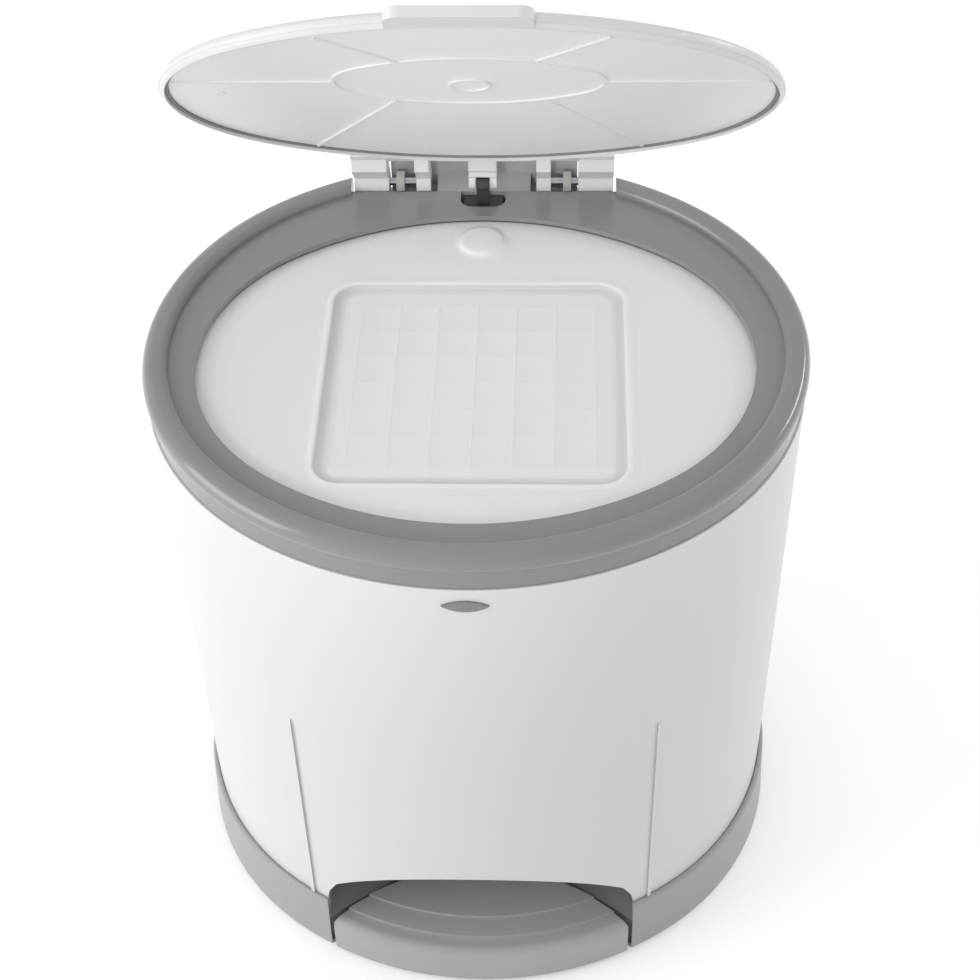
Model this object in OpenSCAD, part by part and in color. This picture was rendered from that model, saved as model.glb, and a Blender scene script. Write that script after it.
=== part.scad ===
// Pedal nappy bin, shown as photographed: pedal pressed, lid open, drop flap closed.
// Origin on the floor under the middle of the bin, +Z up, the pedal side faces -Y. Millimetres.

/* [Tower] */
// Width over the rim bead
rim_w = 300; // [280:1:320]
// Depth over the rim bead
rim_d = 282; // [266:1:290]
// Height of the body's top edge, where the rim sits
body_top_z = 287.6; // [270:0.1:310]
// Height of the body's bottom edge inside the base
body_bottom_z = 30; // [26:1:32]
// How far the body's top edge stands inside the rim bead
body_inset = 0.8; // [0.4:0.1:1.2]
// Inward draft of the body wall from top to bottom
body_draft = 2.5; // [0.5:0.1:4]
// Wall of the body shell
body_wall = 3; // [2:0.1:3.6]
// Half spacing of the two raised lines on the front
line_x = 85; // [80:1:95]
// Height of the raised lines' top ends
line_top_z = 176; // [120:1:220]
// Height of the ledge that carries the inner floor
floor_ledge_z = 90; // [88:1:96]
// Drop of the bag hoop's ledge below the body's top edge
hoop_drop = 58.6; // [53:0.1:66]

/* [Base] */
// Height of the grey base ring
base_h = 38; // [34:1:42]
// Lift of the base above the floor on its feet
base_lift = 1.5; // [1:0.1:3]
// Wall of the base ring
base_wall = 3; // [2.5:0.1:4]
// Thickness of the base floor
base_floor = 3; // [2:0.1:4]
// Radius of the rubber feet
foot_r = 9; // [6:0.5:11]
// Depth of the recess that holds each foot
foot_seat = 1.5; // [1:0.1:2]

/* [Pedal] */
// Half width of the pedal bay
bay_half = 77; // [70:1:79]
// Radius of the bay's arched top
bay_r = 100; // [95:1:104]
// Height of the bay's arched top at the middle
bay_top_z = 84; // [78:1:85]
// Depth of the bay behind the rim's front
bay_depth = 91; // [80:1:94]
// Side gap beside the pedal
pedal_gap = 2; // [1:0.1:4]
// Height of the pedal's highest step when pressed
pedal_top_z = 27; // [25:0.5:30]
// Height of one step in the pedal's tread
step_h = 1.6; // [0.8:0.1:2]
// Widths of the two front treads, measured in from the base outline
tread_w = 10; // [7:0.5:12]
// Distance of the pedal axle behind the middle of the bin
axle_y = 20; // [10:1:35]
// Height of the pedal axle
axle_z = 20; // [19:0.5:22]
// Radius of the pedal axle
axle_r = 3; // [2.5:0.1:4]

/* [Rim] */
// Height of the flat band above the body's top edge
band_rise = 14.4; // [13:0.1:17]
// Thickness of the flat band
band_t = 2.5; // [2:0.1:3.5]
// Width of the rim bead
bead_w = 11.6; // [10:0.1:13]
// Height of the bead above the band
bead_rise = 4.5; // [3:0.1:5]
// Depth of the sleeve inside the body
sleeve_h = 34; // [24:1:38]
// Rim beside the flap opening, in from the bead's outside
rim_side = 24.5; // [23:0.1:28]
// Rim in front of the flap opening
rim_front = 25.1; // [23:0.1:28]
// Rim behind the flap opening, with the hinge in it
rim_back = 43.9; // [42.5:0.1:45]

/* [Lid] */
// How far the closed lid's sides stand inside the rim bead
lid_side = 18; // [16:0.5:20]
// How far the closed lid's front stands inside the rim bead
lid_front = 15; // [14:0.5:17]
// How far the closed lid's back stands inside the rim bead
lid_back = 43; // [42:0.5:46]
// Height of the dome over the lid's underside
dome_h = 9; // [8.5:0.5:14]
// Wall of the lid shell
lid_wall = 2.4; // [2:0.1:2.6]
// Height of the lid's inner panel over the band, when closed
panel_rise = 7.4; // [6:0.1:9]
// Angle that the lid opens
lid_open_deg = 47; // [40:1:60]
// Distance of the hinge axis inside the rim's back
hinge_inset = 17; // [15:0.5:19]
// Height of the hinge axis over the band
hinge_rise = 1.5; // [1.3:0.1:2.5]
// Radius of the hinge pins
pin_r = 2; // [1.5:0.1:2.2]

/* [Flap] */
// Thickness of the flap plate
flap_t = 2.5; // [2:0.1:3]
// How far the flap reaches under the band all round
flap_lap = 4; // [3:0.1:4.5]
// Flap beside the square tray, at the opening's widest
tray_side = 56.5; // [50:0.5:70]
// Flap in front of the square tray
tray_front = 22.9; // [22:0.1:40]
// Flap behind the square tray
tray_back = 50.1; // [45:0.1:60]
// Depth of the tray
tray_depth = 2.6; // [1.5:0.1:4]
// Angle that the flap drops
flap_deg = 60; // [45:1:62]
// Radius of the crank under the flap
crank_r = 10.7; // [9.5:0.1:12]

/* [Hidden] */

white = "#e6e6e4";
grey = "#8c8c8a";
dark = "#4a4a4a";
steel = "#c8ccd0";

big = 400;
reach = 80;
arc_fn = 96;
gap = 0.4;
run_gap = 0.06;

band_z = body_top_z + band_rise;
hinge_z = band_z + hinge_rise;
band_under_z = band_z - band_t;
body_h = body_top_z - body_bottom_z;
front_y = -rim_d / 2;
back_y = rim_d / 2;
hinge_y = back_y - hinge_inset;
bay_back_y = front_y + bay_depth;
hoop_ledge_z = body_top_z - hoop_drop;

// Each oval plan has two end arcs and two long arcs. Their centres make triangles of 3, 4 and 5,
// so that the arcs meet without a corner. An oval is [half width, half depth, middle], and one that
// is deeper than wide is turned.
function narrow(o) = min(o[0], o[1]);
function spread(o) = abs(o[0] - o[1]) / 2;
function turned(o) = o[0] < o[1] ? 90 : 0;
function end_c(o) = 3 * spread(o);
function end_r(o) = narrow(o) - spread(o);
function long_c(o) = 4 * spread(o);
function long_r(o) = narrow(o) + long_c(o);

tower = [rim_w / 2, rim_d / 2, 0];
mouth = [rim_w / 2 - rim_side, (rim_d - rim_front - rim_back) / 2, (rim_front - rim_back) / 2];
flap_oval = mouth + [flap_lap, flap_lap, 0];
lid_oval = [rim_w / 2 - lid_side, (rim_d - lid_front - lid_back) / 2, (lid_front - lid_back) / 2];
lid_back_y = back_y - lid_back;
mouth_back_y = back_y - rim_back;

// The part of the plan that an end arc fills, on side s
module end_part(o, s) {
    c = end_c(o);
    polygon([[s * c, 0], [s * (c + 3 * reach), 4 * reach], [s * (c + 10 * reach), 0],
        [s * (c + 3 * reach), -4 * reach]]);
}

// The part of the plan that a long arc fills, on side s
module long_part(o, s) {
    c = end_c(o);
    polygon([[-c, 0], [c, 0], [c + 3 * reach, s * 4 * reach], [-c - 3 * reach, s * 4 * reach]]);
}

// The plan shape of an oval, moved inwards or outwards by u
module oval(o, u = 0) {
    translate([0, o[2]]) rotate(turned(o)) for (s = [-1, 1]) {
        intersection() {
            translate([s * end_c(o), 0]) circle(r = end_r(o) + u, $fn = arc_fn);
            end_part(o, s);
        }
        intersection() {
            translate([0, -s * long_c(o)]) circle(r = long_r(o) + u, $fn = arc_fn);
            long_part(o, s);
        }
    }
}

// Sweeps a profile round an oval: its x is the distance outwards from the oval, its y is the height
module around(o) {
    translate([0, o[2], 0]) rotate(turned(o)) for (s = [-1, 1]) {
        intersection() {
            translate([s * end_c(o), 0, 0]) rotate_extrude($fn = arc_fn) translate([end_r(o), 0]) children();
            translate([0, 0, -big]) linear_extrude(3 * big) end_part(o, s);
        }
        intersection() {
            translate([0, -s * long_c(o), 0]) rotate_extrude($fn = arc_fn)
                translate([long_r(o), 0]) children();
            translate([0, 0, -big]) linear_extrude(3 * big) long_part(o, s);
        }
    }
}

module slab(o, u, z, h) {
    translate([0, 0, z]) linear_extrude(h) oval(o, u);
}

module box_at(x0, x1, y0, y1, z0, z1) {
    translate([x0, y0, z0]) cube([x1 - x0, y1 - y0, z1 - z0]);
}

// A cylinder along X, centred on x
module bar_x(x, y, z, r, length) {
    translate([x - length / 2, y, z]) rotate([0, 90, 0]) cylinder(r = r, h = length, $fn = 48);
}

module upright(x, y, z, r, h) {
    translate([x, y, z]) cylinder(r = r, h = h, $fn = 48);
}

// A side view, drawn with Y to the right and Z up, given a width along X
module side_plate(x, width) {
    translate([x - width / 2, 0, 0]) rotate([90, 0, 90]) linear_extrude(width) children();
}

module both_sides() {
    children();
    mirror([1, 0, 0]) children();
}

// Body wall
function wall_u(z) = -body_inset - body_draft * (body_top_z - z) / body_h;
function inner_u(z) = wall_u(z) - body_wall;
ledge_w = 5.5;
ledge_t = 3;
snap_z = body_top_z - 15;
snap_h = 3;
snap_deep = 0.9;
line_w = 1.8;
line_proud = 1.1;
badge_w = 20;
badge_h = 6;
badge_t = 0.9;
badge_z = body_top_z - 9;

// Base
ring_top_u = -0.6;
ring_foot_u = 0.8;
ring_gap = 0.3;
screw_r = 2;
screw_head_r = 4;
screw_head_h = 3;
screw_x = rim_w / 2 - 25;
screw_front_x = rim_w / 2 - 42;
screw_y = back_y - 94;
screw_front_y = front_y + 65;
screw_spots = [[screw_x, screw_y], [-screw_x, screw_y], [screw_front_x, screw_front_y],
    [-screw_front_x, screw_front_y]];
screw_post_r = 6;
screw_seat_z = 22;
screw_len = 28;
boss_h = 26;
feet_x = rim_w / 2 - 50;
feet_front_x = rim_w / 2 - 58;
feet_y = back_y - 65;
feet_front_y = front_y + 53;
foot_spots = [[feet_x, feet_y], [-feet_x, feet_y], [feet_front_x, feet_front_y],
    [-feet_front_x, feet_front_y], [0, back_y - 25]];
foot_bevel = 0.8;
bracket_x = 31;
bracket_t = 6;
bracket_r = 8;
clip_t = 1.2;

// Pedal
bay_c_z = bay_top_z - bay_r;
bay_ease = 13;
bay_corner_z = base_h + 1;
sill_z = 22;
sill_in = 32;
sill_y0 = front_y + 23;
sill_y1 = front_y + 46.6;
sill_y2 = front_y + 56;
hood_wall = 2;
hood_screw_x = 40;
hood_screw_y = bay_back_y - 14;
small_screw_r = 1.5;
small_head_h = 2;
small_screw_len = 11;
floor_t = 3;
lip_h = 12;
pad_half = bay_half - pedal_gap;
pad_back_y = front_y - 54;
pad_back_r = 105;
pad_under_z = 3;
pad_skin = 3;
pad_round = 6;
lever_half = 20;
lever_t = 5;
lever_z = axle_z - 3;
hub_r = 7;
rod_y = hinge_y + 4;
rod_r = 3;

// Rim
skirt_u = -1.5;
skirt_t = 3;
sleeve_u = -body_inset - body_wall - 0.35;
sleeve_t = 2.5;
snap_proud = 0.6;
recess_half = 65;
recess_y = hinge_y - 6.5;
recess_wall = 2.5;
shelf_z = body_top_z;
shelf_t = 2.6;
slot_half = 11;
slot_y0 = hinge_y - 19;
slot_y1 = hinge_y - 4.5;
slot_round = 6;

// Hinge
lug_r = 6;
lug_x = 55;
lug_w = 17;
knuckle_x = 29.5;
knuckle_w = 7;
post_x = 41;
post_w = 4;
post_r = 5;
pin_len = 36;
pin_x = 44;
block_floor = 4;
block_screw_x = 52;
block_screw_y = hinge_y - 1;
block_screw_len = 14;
wall_half = 46;
pad_half_w = 23;

// Flap and its crank
flap_top_z = band_under_z - 1.3;
flap_under_z = flap_top_z - flap_t;
flap_seal_t = 1;
flap_hinge_y = mouth_back_y + 5.9;
flap_hinge_z = band_z - 13;
barrel_r = 4;
barrel_x = 38;
barrel_w = 16;
hanger_w = 4;
hanger_r = 3.5;
hanger_off = 10.5;
flap_pin_len = 25;
crank_deg = 10;
crank_y = flap_hinge_y - crank_r * cos(crank_deg);
crank_z = flap_hinge_z + crank_r * sin(crank_deg);
ear_x = 5.9;
ear_w = 3;
ear_r = 3.8;
tray_round = 14;
tray_skin = 2;
tray_lip = 1;
tray_slope = 2.4;
bump_y = mouth_back_y - 16.1;
tray_a = mouth[0] - tray_side;
tray_b = mouth[1] - (tray_front + tray_back) / 2;
tray_y = mouth[2] + (tray_front - tray_back) / 2;
bump_r = 10.8;
bump_h = 1.8;
grid_step = 18;
grid_h = 0.25;
grid_w = 0.9;

// Lift rod and yoke. One stroke of the rod opens the lid and closes the flap.
lift_travel = crank_r * (sin(flap_deg - crank_deg) + sin(crank_deg));
pedal_deg = asin(lift_travel / (rod_y - axle_y));
arm_up_deg = 35;
arm_r = lift_travel / (sin(arm_up_deg) + sin(lid_open_deg - arm_up_deg));
arm_pin_r = 1.5;
arm_w = 13.6;
arm_end_r = 3.8;
arm_face = 0.8;
fork_w = 6.8;
fork_room = 4.1;
eye_r = arm_pin_r + 1.5;
arm_y = hinge_y - arm_r * cos(arm_up_deg);
arm_z = hinge_z + arm_r * sin(arm_up_deg);
arm_low_y = hinge_y - arm_r * cos(lid_open_deg - arm_up_deg);
arm_low_z = hinge_z - arm_r * sin(lid_open_deg - arm_up_deg);
rod_top_z = band_z - 40;
foot_gap = 0.6;
foot_tip_z = lever_z + lever_t + foot_gap;
foot_tip_h = 2;
foot_seat_h = 3.4;
rod_foot_r = 5;
blade_half = 3;
blade_y = arm_y - 2.5;
socket_r = 5.5;
duct_top_z = rod_top_z - 22;
duct_half = 12;
duct_wall = 2;
duct_back = rim_d / 2 + inner_u(floor_ledge_z) - 1.2;
hoop_h = 11;
hoop_t = 4.4;

// Lid, in its closed place
panel_z = band_z + panel_rise;
panel_t = 1.6;
lid_skirt_z = panel_z - 0.5;
lid_top_z = panel_z + dome_h;
dome_flat = 48;
dome_drop = dome_h - 4.2;
edge_r = lid_wall + 1;
dome_r = pow(dome_flat - edge_r, 2) / (2 * dome_drop) + dome_drop / 2;
shoulder_z = lid_top_z - dome_drop - edge_r;
seal_w = 1.4;
seal_gap = 0.1;
seal_drop = 0.9;
seal_rise = 0.5;
panel_inset = lid_wall + seal_w + 2 * seal_gap;
neck_z = band_z + 1.6;
finger_top_z = panel_z + 4;
bridge_y0 = lid_back_y - 3;
bridge_y1 = lid_back_y + 6;
tab_half = 28;
tab_out = 10;
tab_t = 4.5;
tab_z = band_z + bead_rise + 0.4;
tab_round = 6;
rib_h = 0.8;
rib_w = 1.4;
rib_oval = [57, 35, lid_oval[2] - 26];
// Ends of the raised ribs that run from the oval to the panel's edge
rib_y = rib_oval[2];
rib_ends = [[[28, rib_y - 30], [57, rib_y - 63]], [[31, rib_y + 27], [78, rib_y + 116]],
    [[56, rib_y], [lid_oval[0] - 8, rib_y]]];

module body_profile() {
    low = body_bottom_z;
    top = body_top_z;
    hoop = hoop_ledge_z;
    ledge = floor_ledge_z;
    polygon([[wall_u(low), low], [wall_u(top), top], [inner_u(top), top],
        [inner_u(snap_z + snap_h), snap_z + snap_h],
        [inner_u(snap_z) + snap_deep, snap_z + snap_h / 2],
        [inner_u(snap_z), snap_z], [inner_u(hoop), hoop], [inner_u(hoop) - ledge_w, hoop],
        [inner_u(hoop) - ledge_w, hoop - ledge_t], [inner_u(hoop), hoop - ledge_t - ledge_w],
        [inner_u(ledge), ledge], [inner_u(ledge) - ledge_w, ledge],
        [inner_u(ledge) - ledge_w, ledge - ledge_t], [inner_u(ledge), ledge - ledge_t],
        [inner_u(low), low]]);
}

// The arched front view of the pedal bay with its eased corners, made larger by grow
module bay_arch(grow = 0) {
    x = bay_half + grow;
    intersection() {
        translate([0, bay_c_z]) circle(r = bay_r + grow, $fn = arc_fn);
        for (s = [-1, 1]) polygon([[0, 0], [s * x, 0], [s * x, bay_corner_z],
            [s * (x - bay_ease / 9), bay_corner_z + bay_ease / 2],
            [s * (x - bay_ease / 2), bay_corner_z + 1.3 * bay_ease],
            [s * (x - 2 * bay_ease), bay_corner_z + 2.6 * bay_ease],
            [s * (x - 2 * bay_ease), big], [0, big]]);
    }
}

module bay_cut(y0, y1, grow = 0) {
    translate([0, y1, 0]) rotate([90, 0, 0]) linear_extrude(y1 - y0) bay_arch(grow);
}

module screw_post(p, z, h) {
    upright(p[0], p[1], z, screw_post_r, h);
}

module body_shell() {
    color(white) difference() {
        union() {
            difference() {
                around(tower) body_profile();
                bay_cut(-big, 0);
            }
            // Raised lines beside the pedal bay
            both_sides() intersection() {
                around(tower) polygon([[wall_u(base_h) - 1, base_h], [wall_u(line_top_z) - 1, line_top_z],
                    [wall_u(line_top_z) + line_proud, line_top_z - 2],
                    [wall_u(base_h) + line_proud, base_h]]);
                box_at(line_x - line_w / 2, line_x + line_w / 2, -big, 0, base_h, line_top_z);
            }
            // Bosses for the base screws
            intersection() {
                slab(tower, wall_u(body_bottom_z) - 0.5, body_bottom_z, boss_h);
                for (p = screw_spots) union() {
                    screw_post(p, body_bottom_z, boss_h);
                    box_at(p[0] < 0 ? -big : p[0], p[0] < 0 ? p[0] : big,
                        p[1] - 2, p[1] + 2, body_bottom_z, body_bottom_z + boss_h);
                }
            }
        }
        for (p = screw_spots) upright(p[0], p[1], body_bottom_z - 1, screw_r + run_gap, boss_h - 4);
        // Notches in the ledges for the lift rod and its channel
        upright(0, rod_y, body_bottom_z - 1, rod_r + 1.5, floor_ledge_z);
        box_at(-duct_half - gap, duct_half + gap, 0, duct_back + 1,
            hoop_ledge_z - ledge_t - ledge_w - 1, hoop_ledge_z + 1);
    }
}

// Bare oval plate under the rim
module front_badge() {
    off = (pow(badge_w, 2) - pow(badge_h, 2)) / (4 * badge_h);
    low = badge_z - badge_h;
    top = badge_z + badge_h;
    color(grey) intersection() {
        around(tower) polygon([[wall_u(low), low], [wall_u(top), top],
            [wall_u(top) + badge_t, top], [wall_u(low) + badge_t, low]]);
        translate([0, 0, badge_z]) rotate([90, 0, 0]) linear_extrude(rim_d) intersection() {
            translate([0, off]) circle(r = off + badge_h / 2, $fn = arc_fn);
            translate([0, -off]) circle(r = off + badge_h / 2, $fn = arc_fn);
        }
    }
}

module base_profile() {
    low = base_lift;
    inner = wall_u(base_h) + ring_gap;
    ledge = inner - ledge_w - 1;
    polygon([[ring_foot_u - 4, low], [ring_foot_u - 2, low], [ring_foot_u, low + 2], [ring_foot_u, low + 4],
        [ring_top_u, base_h - 1.4], [ring_top_u - 1, base_h], [inner, base_h], [inner, body_bottom_z],
        [ledge, body_bottom_z], [ledge, body_bottom_z - ledge_t],
        [ring_top_u - base_wall, body_bottom_z - ledge_t - ledge_w],
        [ring_foot_u - base_wall - 1, low + base_floor]]);
}

module base_tray() {
    bay_floor_y = pad_back_y + pad_back_r + 6;
    bay_side_y = -rim_d / 2 + 18;
    color(grey) difference() {
        union() {
            difference() {
                union() {
                    around(tower) base_profile();
                    slab(tower, ring_foot_u - base_wall, base_lift, base_floor);
                }
                box_at(-bay_half, bay_half, -big, bay_floor_y, base_lift + base_floor, big);
                linear_extrude(big) pad_plan(-2, 5);
                box_at(-bay_half, bay_half, -big, bay_side_y, 0, big);
            }
            for (p = screw_spots) screw_post(p, base_lift, body_bottom_z - base_lift);
            // Sills in the bay's rear corners, behind the pedal
            for (s = [-1, 1]) translate([0, 0, base_lift]) linear_extrude(sill_z - base_lift)
                polygon([[s * (bay_half + 1), sill_y0], [s * (bay_half + 1), sill_y2],
                    [s * (bay_half - sill_in), sill_y2], [s * (bay_half - sill_in), sill_y1]]);
            // Cheeks beside the pedal
            both_sides() intersection() {
                slab(tower, ring_top_u - base_wall, base_lift, body_bottom_z - base_lift);
                box_at(bay_half, bay_half + base_wall, -big, bay_back_y, 0, big);
            }
            // Brackets of the pedal axle
            both_sides() {
                box_at(bracket_x - bracket_t / 2, bracket_x + bracket_t / 2,
                    axle_y - bracket_r, axle_y + bracket_r, base_lift + 1, axle_z);
                bar_x(bracket_x, axle_y, axle_z, bracket_r, bracket_t);
            }
        }
        bar_x(0, axle_y, axle_z, axle_r + run_gap, 4 * bracket_x);
        // Room for the lift rod's foot
        upright(0, rod_y, base_lift + base_floor, rod_foot_r + 0.6, big);
        for (p = screw_spots) {
            upright(p[0], p[1], 0, screw_r + gap, big);
            upright(p[0], p[1], 0, screw_head_r + gap, screw_seat_z);
        }
        for (p = foot_spots) upright(p[0], p[1], 0, foot_r + run_gap, base_lift + foot_seat);
    }
}

module rubber_feet() {
    color(dark) for (p = foot_spots) union() {
        upright(p[0], p[1], foot_bevel, foot_r, base_lift + foot_seat - foot_bevel);
        translate([p[0], p[1], 0]) cylinder(r1 = foot_r - foot_bevel, r2 = foot_r, h = foot_bevel, $fn = 48);
    }
}

module base_screws() {
    color(steel) for (p = screw_spots) union() {
        upright(p[0], p[1], screw_seat_z - screw_head_h, screw_head_r, screw_head_h);
        upright(p[0], p[1], screw_seat_z, screw_r, screw_len);
    }
}

// Arched cover that closes the pedal bay inside the body
module pedal_hood() {
    color(dark) difference() {
        intersection() {
            union() {
                bay_cut(-big, bay_back_y, hood_wall);
                for (s = [-1, 1]) upright(s * hood_screw_x, hood_screw_y, bay_top_z - 20, 5,
                    floor_ledge_z - bay_top_z + 20);
            }
            slab(tower, inner_u(base_h) - gap, body_bottom_z + gap, floor_ledge_z - body_bottom_z - gap);
        }
        bay_cut(-big, bay_back_y - hood_wall);
        box_at(-lever_half - 6, lever_half + 6, -big, big, 0, bay_top_z - 40);
        for (s = [-1, 1])
            upright(s * hood_screw_x, hood_screw_y, bay_top_z - 24, small_screw_r + run_gap, big);
    }
}

module inner_floor() {
    z = floor_ledge_z;
    u = inner_u(z) - gap;
    color(white) difference() {
        union() {
            slab(tower, u - 1, z, floor_t);
            around(tower) polygon([[u - 2, z], [u, z], [u + 0.1, z + lip_h], [u - 1.9, z + lip_h]]);
        }
        upright(0, rod_y, z - 1, rod_r + 1.5, floor_t + 2);
        box_at(-duct_half - gap, duct_half + gap, rod_y - 10, big, z + floor_t, z + lip_h + 1);
        for (s = [-1, 1])
            upright(s * hood_screw_x, hood_screw_y, z - 1, small_screw_r + run_gap, floor_t + 2);
    }
}

module floor_screws() {
    color(steel) for (s = [-1, 1]) union() {
        upright(s * hood_screw_x, hood_screw_y, floor_ledge_z + floor_t, 2 * small_screw_r, small_head_h);
        upright(s * hood_screw_x, hood_screw_y, floor_ledge_z + floor_t - small_screw_len,
            small_screw_r, small_screw_len);
    }
}

// Channel up the back that keeps the lift rod clear of the bag
module rod_duct() {
    low = floor_ledge_z + floor_t;
    front = rod_y - 9;
    color(white) difference() {
        box_at(-duct_half, duct_half, front, duct_back, low, duct_top_z);
        difference() {
            box_at(duct_wall - duct_half, duct_half - duct_wall, front + duct_wall, big, low - 1, big);
            for (z = [low + 8, duct_top_z - 30])
                box_at(-duct_half, duct_half, front, duct_back, z, z + 6);
        }
        upright(0, rod_y, 0, rod_r + run_gap, big);
    }
}

// Plan of the hoop, an oval cut straight in front of the rod channel
module hoop_plan(inset) {
    intersection() {
        oval(tower, inner_u(hoop_ledge_z) - 0.8 - inset);
        translate([-big, -big]) square([2 * big, big + rod_y - 10 - inset]);
    }
}

// Hoop that the bag is folded over
module bag_hoop() {
    color(white) translate([0, 0, hoop_ledge_z]) linear_extrude(hoop_h) difference() {
        hoop_plan(0);
        hoop_plan(hoop_t);
    }
}

module rim_profile() {
    top = band_z + bead_rise;
    r_out = bead_w / 2 - 0.2;
    r_in = r_out - 2;
    low = body_top_z;
    // Skirt under the bead
    translate([skirt_u - skirt_t, low]) square([skirt_t, 10]);
    // Rounded bead
    translate([-r_out, top - r_out]) circle(r = r_out, $fn = 48);
    translate([r_in - bead_w, top - r_in]) circle(r = r_in, $fn = 48);
    translate([-r_out, top - 1]) square([0.01, 1]);
    translate([-bead_w, band_under_z]) square([bead_w - 0.4, top - r_out - band_under_z]);
    translate([r_in - bead_w, top - r_out]) square([bead_w - r_in - r_out, r_out]);
    // Sleeve with its snap bead
    polygon([[sleeve_u, low], [sleeve_u, snap_z + snap_h], [sleeve_u + snap_proud, snap_z + snap_h / 2],
        [sleeve_u - 0.15, snap_z], [sleeve_u - 0.4, low - sleeve_h + 2], [sleeve_u - 1.2, low - sleeve_h],
        [sleeve_u - sleeve_t, low - sleeve_h], [sleeve_u - sleeve_t, low]]);
    translate([sleeve_u - sleeve_t, low]) square([sleeve_t + 1, band_z - low]);
}

// Plan of the slot in the band, straight at the back and rounded in front
module slot_plan() {
    translate([-slot_half, slot_y0 + slot_round]) square([2 * slot_half, slot_y1 - slot_y0 - slot_round]);
    translate([slot_round - slot_half, slot_y0]) square([2 * (slot_half - slot_round), slot_round + 1]);
    for (s = [-1, 1]) translate([s * (slot_half - slot_round), slot_y0 + slot_round])
        circle(r = slot_round, $fn = 48);
}

module rim_ring() {
    far = recess_half + recess_wall;
    color(grey) difference() {
        union() {
            difference() {
                union() {
                    around(tower) rim_profile();
                    slab(tower, 2 - bead_w, band_under_z, band_t);
                }
                box_at(-recess_half, recess_half, recess_y, big, shelf_z + shelf_t, big);
                box_at(-recess_half, recess_half, recess_y - 6, big, band_z, big);
                slab(mouth, 0, 0, big);
            }
            // Walls and shelf of the hinge recess
            intersection() {
                slab(tower, sleeve_u - 1, shelf_z, band_z - shelf_z);
                difference() {
                    box_at(-far, far, recess_y - recess_wall, big, shelf_z, band_z);
                    box_at(-recess_half, recess_half, recess_y, big, shelf_z + shelf_t, big);
                }
            }
            intersection() {
                for (s = [-1, 1]) upright(s * block_screw_x, block_screw_y, shelf_z - 8, 4.5, 9);
                slab(tower, sleeve_u, shelf_z - 9, 12);
            }
            // Hangers of the flap pins
            both_sides() for (x = [barrel_x - hanger_off, barrel_x + hanger_off]) {
                bar_x(x, flap_hinge_y, flap_hinge_z, hanger_r, hanger_w);
                box_at(x - hanger_w / 2, x + hanger_w / 2, flap_hinge_y - hanger_r + 0.3,
                    flap_hinge_y + hanger_r, flap_hinge_z, band_under_z + 1);
            }
        }
        translate([0, 0, shelf_z - 1]) linear_extrude(big) slot_plan();
        for (s = [-1, 1])
            upright(s * block_screw_x, block_screw_y, shelf_z - 20, small_screw_r + run_gap, 40);
        both_sides() bar_x(barrel_x, flap_hinge_y, flap_hinge_z, pin_r + run_gap / 2, 40);
    }
}

module hinge_block() {
    low = shelf_z + shelf_t;
    wall_top = hinge_z + 8;
    half = recess_half - gap;
    color(grey) difference() {
        union() {
            intersection() {
                slab(tower, skirt_u, low, block_floor);
                box_at(-half, half, recess_y + gap, big, 0, big);
            }
            // Rear wall between the lid's knuckles
            intersection() {
                difference() {
                    slab(tower, skirt_u, low, wall_top - low);
                    slab(tower, skirt_u - skirt_t, 0, big);
                }
                box_at(-wall_half, wall_half, 0, big, 0, big);
            }
            // Raised middle, level with the band
            intersection() {
                slab(tower, skirt_u - 0.5, low, band_z - low - 1);
                box_at(-pad_half_w, pad_half_w, recess_y + gap, big, 0, big);
            }
            // Posts that hold the pins
            both_sides() {
                bar_x(post_x, hinge_y, hinge_z, post_r, post_w);
                box_at(post_x - post_w / 2, post_x + post_w / 2,
                    hinge_y - post_r, hinge_y + post_r, low + 1, hinge_z);
            }
        }
        translate([0, 0, low - 1]) linear_extrude(big) slot_plan();
        both_sides() bar_x(post_x, hinge_y, hinge_z, pin_r + run_gap / 2, 10);
        for (s = [-1, 1]) upright(s * block_screw_x, block_screw_y, low - 1, small_screw_r + run_gap, 40);
    }
}

module hinge_screws() {
    z = shelf_z + shelf_t + block_floor;
    color(steel) for (s = [-1, 1]) union() {
        upright(s * block_screw_x, block_screw_y, z, 2 * small_screw_r, small_head_h);
        upright(s * block_screw_x, block_screw_y, z - block_screw_len, small_screw_r, block_screw_len);
    }
}

module hinge_pins() {
    color(steel) for (s = [-1, 1]) bar_x(s * pin_x, hinge_y, hinge_z, pin_r, pin_len);
}

module flap_pins() {
    color(steel) for (s = [-1, 1]) bar_x(s * barrel_x, flap_hinge_y, flap_hinge_z, pin_r, flap_pin_len);
}

module pedal_axle() {
    color(steel) bar_x(0, axle_y, axle_z, axle_r, 2 * bracket_x + bracket_t + 6);
}

module axle_clips() {
    x = bracket_x + bracket_t / 2 + 0.1 + clip_t / 2;
    color(steel) for (s = [-1, 1]) difference() {
        bar_x(s * x, axle_y, axle_z, 2 * axle_r, clip_t);
        bar_x(s * x, axle_y, axle_z, axle_r + run_gap / 2, clip_t + 2);
    }
}

// Turns a closed lid piece to the open place
module opened() {
    translate([0, hinge_y, hinge_z]) rotate([-lid_open_deg, 0, 0])
        translate([0, -hinge_y, -hinge_z]) children();
}

// Section of the lid's skin from its flat top to its edge, taken in by t
module dome_section(t) {
    low = lid_skirt_z - t;
    translate([-dome_flat - 4, low]) square([4.01, lid_top_z - t - low]);
    intersection() {
        translate([-dome_flat, lid_top_z - dome_r]) circle(r = dome_r - t, $fn = arc_fn);
        translate([-dome_flat, low]) square([dome_flat - edge_r, 60]);
    }
    translate([-dome_flat, low]) square([dome_flat - t, shoulder_z - low]);
    translate([-edge_r, shoulder_z]) circle(r = edge_r - t, $fn = 48);
}

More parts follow.
